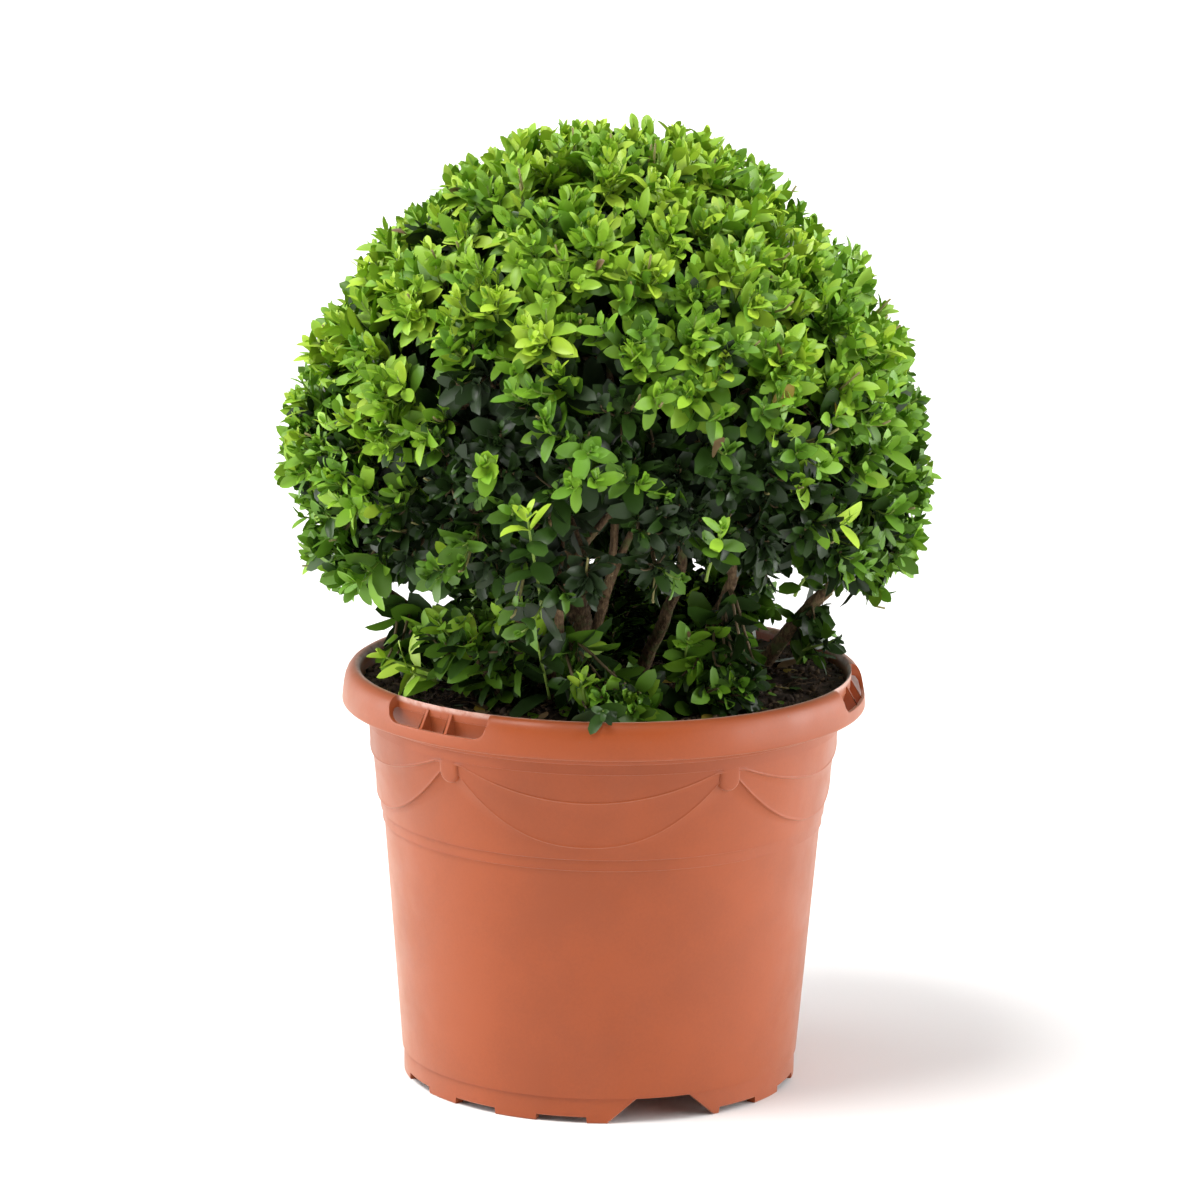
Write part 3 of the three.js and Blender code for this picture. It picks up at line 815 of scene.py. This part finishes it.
class Wood:
    """Collects twigs as tubes of few sides."""

    def __init__(self):
        self.piles = {}

    def add(self, kind, curves, thick, thin, sides, steps):
        """Twigs that narrow from thick to thin along their curves."""
        t = np.linspace(0, 1, steps)
        path, _ = bent(curves, t)
        radii = np.asarray(thick).reshape(-1, 1) * (1 - t) + np.asarray(thin).reshape(-1, 1) * t
        self.piles.setdefault(kind, Pile()).add(*tubes(path, radii, sides))

    def finish(self, materials):
        for kind, pile in self.piles.items():
            build(kind, *pile.arrays(), materials[kind], "bark")


def make_boughs(material):
    """Bark-relief meshes in place of the limbs. Returns where each ends, its way there and its radius."""
    sides, steps = 26, 90
    t = np.linspace(0, 1, steps)
    angle = np.linspace(0, 2 * np.pi, sides, endpoint=False)
    # Where the relief is looked up: round the bough and along it
    spots = np.stack(np.broadcast_arrays(1.6 * np.cos(angle), 1.6 * np.sin(angle), 18 * t[:, None]), -1)
    pile = Pile()
    ends, ways, end_radii = [], [], []
    for seed, name in enumerate(LIMBS):
        line, radii = limb_line(name)
        keys = np.linspace(0, 1, len(line))
        path = np.stack([np.interp(t, keys, line[:, i]) for i in range(3)], 1)
        for _ in range(3):
            path[1:-1] = (path[:-2] + 2 * path[1:-1] + path[2:]) / 4
        wander = 0.7 * MM * np.stack([field(path, 14 * MM, seed + i) for i in range(3)], 1)
        path = path + wander * smooth(0, 0.1, t)[:, None] * smooth(0, 0.08, 1 - t)[:, None]
        r = np.interp(t, keys, radii) * (1 if name == "trunk" else BOUGH_SHARE)
        knots = 1 + 0.13 * field(spots, 0.8, seed) + 0.1 * field(spots * [1, 1, 0.5], 0.32, seed + 40)
        pile.add(*tubes(path[None], r[None], sides, knots[None]))
        ends.append(path[-1])
        ways.append(unit(line[-1] - line[-3]))
        end_radii.append(r[-1])
    build("stems_bark", *pile.arrays(), material, "bark", LIMBS)
    return np.array(ends), np.array(ways), np.array(end_radii)


def shaded_side(out):
    """Painted shade for the leaves: 1 low on the front, which the lamps light least, where leaves take
    darker tones and fewer new shoots, and 0 over the rest.
    """
    towards = out @ unit(np.array([0.0, -1.0, -0.62]))
    front = smooth(0.44, 0.88, towards)
    return front + 0.6 * smooth(0.27, 0.6, -out[:, 2]) * (1 - front)


def near_tone(middle, rng, spread, newest, oldest):
    """Tones scattered about the middle ones, and kept between the newest and the oldest."""
    return np.clip(np.round(middle + spread * rng.normal(size=middle.shape)), newest, oldest)


def grow_ball(foliage, wood, bough_ends, bough_ways, bough_radii):
    """The clipped ball: branches from the limbs' ends, tufts of old leaves, shoots and cut twigs."""
    rng = np.random.default_rng(3)
    # Main branches inside the ball, none of them low
    hit, _ = shell(spread_directions(70, rng, 0.12))
    inner = BALL_CENTRE + (hit - BALL_CENTRE) * 0.52
    inner = inner[hit[:, 2] > 242 * MM]
    free = np.array([not name.endswith("stub") for name in LIMBS])
    owner = np.flatnonzero(free)[nearest(inner, bough_ends[free])]
    inner_way = unit(inner - BALL_CENTRE + 0.03 * UP)
    curves = join_up(bough_ends[owner], bough_ways[owner], inner, inner_way)
    wood.add("branches", curves, bough_radii[owner] * 0.9, 1.5 * MM, 8, 10)
    # Branches that end in tufts, with fewer underneath and in the recess low on the front
    hit, normal = shell(spread_directions(560, rng, 0.04))
    outward = unit(hit - BALL_CENTRE)
    below = normal[:, 2] < -0.55
    behind = hit[:, 1] > 15 * MM
    far_out = np.hypot(hit[:, 0], hit[:, 1]) > 80 * MM
    keep = ~below | behind | (far_out & (rng.random(len(hit)) < 0.6))
    recess = np.exp(-(((hit[:, 0] - 35 * MM) / (55 * MM)) ** 2)) * (hit[:, 1] < 0)
    recess = recess * smooth(280 * MM, 255 * MM, hit[:, 2])
    keep &= rng.random(len(hit)) > 0.75 * recess
    hit, outward, below = hit[keep], outward[keep], below[keep]
    fork = hit - outward * rng.uniform(30, 42, len(hit))[:, None] * MM
    owner = nearest(fork, inner)
    fork_way = unit(outward + 0.25 * UP + 0.2 * rng.normal(size=outward.shape))
    curves = join_up(inner[owner], inner_way[owner], fork, fork_way)
    wood.add("branches", curves, 1.3 * MM, 0.8 * MM, 6, 8)
    # Old leaves that stay on the branches behind the shoots
    n = len(fork)
    worn = rng.integers(5, 8, n)
    foot, leave, _, arrive = curves
    dress(
        foliage, rng, (foot, leave, fork + outward * 6 * MM, arrive), worn, worn,
        np.full(n, 7), np.full(n, 8), rng.uniform(1.0, 1.25, n), np.full(n, 0.2),
    )
    # Shoots: a few from each fork
    uneven = 1 + field(hit, 30 * MM, 9) + 0.7 * rng.normal(size=len(hit))
    depth = 5 * MM + 5 * MM * np.clip(uneven, 0, 3)
    per = rng.integers(4, 7, len(hit))
    which = np.repeat(np.arange(len(hit)), per)
    n = len(which)
    out = outward[which]
    offset = sideways(out, rng) * (rng.random(n) ** 0.6 * 12.5 * MM)[:, None]
    clump = field(hit, 34 * MM, 5)[which]
    shade = shaded_side(out)
    height = out[:, 2]
    left_flank, right_flank = smooth(0.45, 0.8, -out[:, 0]), smooth(0.45, 0.8, out[:, 0])
    # Painted light and shade: the share of new, bright shoots drops over the painted shade on the front and
    # rises on the flanks that the side lamps light.
    flush = 0.9 + 0.35 * height + 0.8 * clump * (1 - 0.7 * shade) - 1.65 * shade
    flush = flush + 0.35 * (left_flank + right_flank)
    is_new = rng.random(n) < np.clip(flush, 0.09, 0.98)
    inset = depth[which] + rng.random(n) ** 2 * 10 * MM + np.where(is_new, 0, 4 + 11 * shade) * MM
    for side, amount in FULLER:
        inset = inset - amount * MM * smooth(0.85, 0.98, out @ unit(np.array(side)))
    tip = hit[which] + offset - out * inset[:, None]
    steep = np.where(below[which], 0.25, 0.95)
    way = unit(0.62 * out + steep[:, None] * UP + 0.25 * rng.normal(size=(n, 3)) + offset / (30 * MM))
    foot, foot_way = fork[which], fork_way[which]
    curves = join_up(foot, foot_way, tip, way)
    # Painted light and shade in the leaf tones: lighter where the sun and left panel light the left flank
    # (lit), a touch darker on the right flank, and darker over the painted shade on the front.
    lit = left_flank * smooth(-0.3, 0.1, height)
    glow = 2.4 - 1.6 * height - 0.9 * clump - 0.6 * lit + 0.1 * right_flank + 0.9 * shade
    new_tones = near_tone(glow, rng, 0.8, 0, 4)
    tones = np.where(is_new, new_tones, near_tone(5.7 + 0.6 * shade, rng, 0.7, 4, 7))
    old_tones = near_tone(5.4 - 1.5 * np.maximum(height, 0) + 1.1 * shade, rng, 0.7, 4, 7)
    droop = np.clip(np.where(is_new, 0.03, 0.4) * (1 - 0.6 * height), 0, 1)
    size = rng.uniform(0.8, 1.08, n) * np.where(is_new, 0.95, 1.04)
    pairs = rng.integers(6, 9, n)
    new_pairs = np.where(is_new, rng.integers(3, 6, n) + (height > 0.3), 8)
    dress(foliage, rng, curves, tones, old_tones, pairs, new_pairs, size, droop)
    for kind, pick, thick, thin in (
        ("shoots_green", is_new, 0.62, 0.42),
        ("shoots_brown", ~is_new, 0.7, 0.45),
    ):
        wood.add(kind, [part[pick] for part in curves], thick * MM, thin * MM, 4, 7)
    # Cut ends that the shears left
    stubs = rng.random(n) < 0.06
    stub_tip = tip[stubs] + offset[stubs] * 0.4 + out[stubs] * 5 * MM
    stub_way = unit(out[stubs] + 0.6 * UP)
    curves = join_up(foot[stubs], foot_way[stubs], stub_tip, stub_way)
    wood.add("cut_twigs", curves, 0.8 * MM, 0.5 * MM, 5, 7)


# ---- the low sprays

# Shoots in each low mass, and the share of them that are new. One group fills in between the two behind
BETWEEN = "between"
LOW = {
    "foliage_low_front_left": (66, 0.24),
    "foliage_low_front": (24, 0.25),
    "foliage_low_right": (30, 0.2),
    "foliage_low_far_right": (12, 0.1),
    "foliage_low_left": (9, 0.5),
    "foliage_low_back_left": (62, 0.15),
    "foliage_low_back_right": (84, 0.15),
    BETWEEN: (95, 0.1),
}
SOIL_LEVEL = 182 * MM


def grow_low(foliage, wood, limb_points):
    """Loose shoots inside the low masses, from the nearest limb or, far from any, from the soil."""
    rng = np.random.default_rng(8)
    boxes = {name: np.array([list(c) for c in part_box(name)]) for name in LOW if name != BETWEEN}
    boxes[BETWEEN] = (boxes["foliage_low_back_left"] + boxes["foliage_low_back_right"]) / 2
    for name, (count, flush) in LOW.items():
        low, high = boxes[name]
        centre, radii = (low + high) / 2, (high - low) / 2
        spread = unit(rng.normal(size=(count, 3)) + [0, 0, 0.2])
        tip = centre + spread * radii * rng.uniform(0.45, 0.92, (count, 1))
        tip[:, 2] = np.maximum(tip[:, 2], SOIL_LEVEL + 7 * MM)
        near = limb_points[nearest(tip * [1, 1, 0.6] - [0, 0, 0.01], limb_points * [1, 1, 0.6])]
        far = np.linalg.norm(near - tip, axis=1) > 42 * MM
        ground = tip * [0.72, 0.72, 0] + [0, 0, SOIL_LEVEL - 2 * MM]
        foot = np.where(far[:, None], ground, near)
        away = unit((tip - foot) * [1, 1, 0.3])
        way = unit(away + 0.3 * UP + 0.35 * rng.normal(size=(count, 3)))
        curves = join_up(foot, unit(away * 0.5 + UP), tip, way)
        is_new = rng.random(count) < flush
        tones = np.where(is_new, rng.integers(1, 4, count), rng.integers(4, 7, count))
        dress(
            foliage, rng, curves, tones, rng.integers(4, 7, count), rng.integers(5, 8, count),
            np.where(is_new, 5, 8), rng.uniform(0.85, 1.1, count), np.where(is_new, 0.05, 0.55),
        )
        wood.add("shoots_brown", curves, 1.0 * MM, 0.5 * MM, 5, 8)


# Sprays that stand out: foot, tip, tone, older tone, leaf pairs, young pairs, leaf size and droop
SPRAYS = (
    ((-70, -44, 192), (-99, -52, 205), 0, 1, 6, 6, 0.95, 0.0),
    ((-74, -50, 192), (-86, -62, 200), 1, 2, 5, 5, 0.9, 0.0),
    ((-6, -84, 182), (-10, -94, 205), 1, 2, 6, 6, 0.8, 0.0),
    ((4, -88, 182), (6, -98, 193), 2, 2, 5, 5, 0.7, 0.0),
    ((-27, -112, 236), (-34, -140, 289), 0, 5, 8, 4, 0.85, 0.1),
    ((44, -96, 250), (50, -134, 282), 1, 4, 7, 4, 0.75, 0.1),
    ((-58, -84, 240), (-69, -112, 264), 1, 5, 7, 4, 0.9, 0.1),
    ((34, -40, 190), (37, -66, 218), 2, 4, 7, 4, 0.8, 0.1),
    ((52, -48, 182), (58, -66, 200), 5, 6, 7, 7, 0.95, 0.4),
    ((88, 6, 190), (97, 4, 206), 6, 6, 6, 6, 1.0, 0.7),
    ((90, 4, 196), (104, -4, 204), 6, 7, 5, 5, 0.9, 0.9),
    ((-60, -40, 200), (-74, -72, 226), 1, 5, 7, 4, 0.85, 0.1),
    ((-4, -88, 187), (0, -117, 196), 5, 6, 5, 5, 0.9, 0.8),
    ((84, -60, 236), (96, -82, 262), 0, 4, 7, 4, 0.85, 0.1),
    ((-24, -70, 190), (-30, -88, 222), 6, 6, 8, 8, 1.05, 0.3),
)


def grow_sprays(foliage, wood):
    """The sprays that have places of their own."""
    rng = np.random.default_rng(21)
    foot, tip, tone, old_tone, pairs, young, size, droop = (np.array(column) for column in zip(*SPRAYS))
    foot, tip = foot * MM, tip * MM
    away = unit(tip - foot)
    curves = join_up(foot, unit(away + 0.4 * UP), tip, unit(away + 0.3 * UP))
    dress(foliage, rng, curves, tone, old_tone, pairs, young, size, droop)
    wood.add("shoots_green", curves, 0.8 * MM, 0.5 * MM, 6, 10)


# ---- soil

def lump_mesh():
    """An icosahedron's 12 corners and 20 faces."""
    g = (1 + 5**0.5) / 2
    signs = [(a, b * g) for a in (-1, 1) for b in (-1, 1)]
    corners = [(a, b, 0) for a, b in signs] + [(0, a, b) for a, b in signs] + [(b, 0, a) for a, b in signs]
    corners = np.array(corners) / math.hypot(1, g)
    edge = 2 / math.hypot(1, g)
    faces = []
    for i, j, k in combinations(range(12), 3):
        a, b, c = corners[[i, j, k]]
        if max(np.linalg.norm(side) for side in (a - b, b - c, a - c)) < 1.01 * edge:
            out = np.dot(np.cross(b - a, c - a), a + b + c) > 0
            faces.append([i, j, k] if out else [i, k, j])
    return corners, np.array(faces)


def crumbs(rng, places, sizes):
    """Rough lumps of the given sizes, each squashed and turned its own way."""
    corners, faces = lump_mesh()
    n = len(places)
    rough = corners[None] * rng.uniform(0.65, 1.25, (n, 12, 1)) * rng.uniform(0.6, 1.2, (n, 1, 3))
    axis = unit(rng.normal(size=(n, 1, 3)))
    angle = np.broadcast_to(rng.uniform(0, 6, (n, 1)), (n, 12))
    rough = turn(rough, np.broadcast_to(axis, rough.shape), angle)
    verts = places[:, None] + rough * sizes[:, None, None]
    return verts.reshape(-1, 3), tile(faces, n, 12)


def soil_height(points):
    """The soil's uneven surface over the pot's floor plan."""
    flat = points * [1, 1, 0]
    edge = smooth(109 * MM, 98 * MM, np.hypot(points[..., 0], points[..., 1]))
    broad = 2.4 * field(flat, 30 * MM, 2) + 1.4 * field(flat, 11 * MM, 3)
    fine = 0.9 * field(flat, 4 * MM, 4) + 0.5 * field(flat, 1.8 * MM, 6)
    heaped = 3.2 * smooth(30 * MM, 100 * MM, points[..., 0])
    return SOIL_LEVEL + MM * (broad * (0.3 + 0.7 * edge) + fine + heaped)


def scattered(rng, reach, count):
    """Places spread evenly over the soil, out to a radius and at height 0."""
    radius = reach * np.sqrt(rng.random(count))
    return around(radius, rng.uniform(0, 360, count), np.zeros(count))


def make_soil(dark, brown, fibre):
    """The heaped surface with its crumbs and fibres."""
    rng = np.random.default_rng(12)
    columns, middle, bottom = 300, 0.4 * MM, 160 * MM
    degrees = np.linspace(0, 360, columns, endpoint=False)
    radius = np.repeat(np.linspace(0.4, 109.2, 110)[None] * MM, columns, 0)
    top = soil_height(around(radius, degrees[:, None], 0 * radius))
    radius = np.concatenate([radius, np.full((columns, 1), 105 * MM), np.full((columns, 1), middle)], 1)
    height = np.concatenate([top, np.full((columns, 2), bottom)], 1)
    verts, faces = revolved(degrees, radius, height)
    build("soil_top", verts, faces[:, ::-1], dark, "compost", ["soil"])
    for name, material, count, small, large in (
        ("soil_crumbs_dark", dark, 2600, 0.6, 2.6),
        ("soil_crumbs_brown", brown, 1300, 0.5, 2.0),
    ):
        places = scattered(rng, 108 * MM, count)
        places[:, 2] = soil_height(places) + rng.uniform(-0.4, 0.7, count) * MM
        sizes = MM * (small + (large - small) * rng.random(count) ** 3)
        build(name, *crumbs(rng, places, sizes), material, "compost")
    count = 260
    start = scattered(rng, 106 * MM, count)
    start[:, 2] = soil_height(start) + 0.6 * MM
    way = unit(rng.normal(size=(count, 3)) * [1, 1, 0.25])
    span = rng.uniform(4, 15, (count, 1)) * MM
    end = start + way * span
    outside = np.hypot(end[:, 0], end[:, 1]) > 108 * MM
    end[outside] = start[outside] * 0.95
    end[:, 2] = soil_height(end) + rng.uniform(0.3, 2.2, count) * MM
    bow = unit(rng.normal(size=(count, 3))) * span * 0.7
    path, _ = bent((start, way * span + bow, end, way * span - bow), np.linspace(0, 1, 6))
    build("soil_fibres", *tubes(path, np.full((1, 6), 0.22 * MM), 4), fibre, "compost")


def litter(foliage):
    """Fallen leaves on the soil."""
    rng = np.random.default_rng(17)
    count = 240
    at = scattered(rng, 97 * MM, count)
    at[:, 2] = soil_height(at) + rng.uniform(1.0, 2.5, count) * MM
    length = rng.uniform(5, 15, count) * MM
    foliage.add(
        rng.choice([2, 3, 4, 5, YELLOWED, WITHERED], count, p=[0.1, 0.15, 0.2, 0.15, 0.1, 0.3]),
        at=at,
        along=unit(rng.normal(size=(count, 3)) * [1, 1, 0.15] - at * [2, 2, 0]),
        facing=unit(UP + 0.09 * rng.normal(size=(count, 3))),
        length=length,
        width=length * 0.5,
        curl=np.clip(rng.normal(0, 0.4, count), -0.25, 0.6),
        fold=rng.uniform(-0.2, 0.4, count),
        reach=np.ones(count),
    )


# ---- put together

def main():
    make_camera()
    make_studio()
    plastic, bark = plastic_material(), bark_material()
    for make in (make_wall, make_tabs, make_collar, make_gussets, make_foot, make_floor_plate):
        make(plastic)
    make_soil(
        soil_material("soil_dark", (0.085, 0.058, 0.038), (0.03, 0.02, 0.013)),
        soil_material("soil_brown", (0.17, 0.11, 0.065), (0.06, 0.038, 0.022)),
        soil_material("soil_fibre", (0.2, 0.13, 0.075), (0.08, 0.05, 0.03)),
    )
    foliage, wood = Foliage(), Wood()
    ends, ways, radii = make_boughs(bark)
    grow_ball(foliage, wood, ends, ways, radii)
    grow_low(foliage, wood, np.concatenate([limb_line(name)[0] for name in LIMBS]))
    grow_sprays(foliage, wood)
    litter(foliage)
    foliage.finish()
    green = new_material("shoot_green", (0.2, 0.3, 0.05), 0.5)
    brown = new_material("shoot_brown", (0.12, 0.085, 0.04), 0.7)
    cut = new_material("cut_twig", (0.2, 0.18, 0.06), 0.7)
    wood.finish({"branches": bark, "shoots_green": green, "shoots_brown": brown, "cut_twigs": cut})


main()
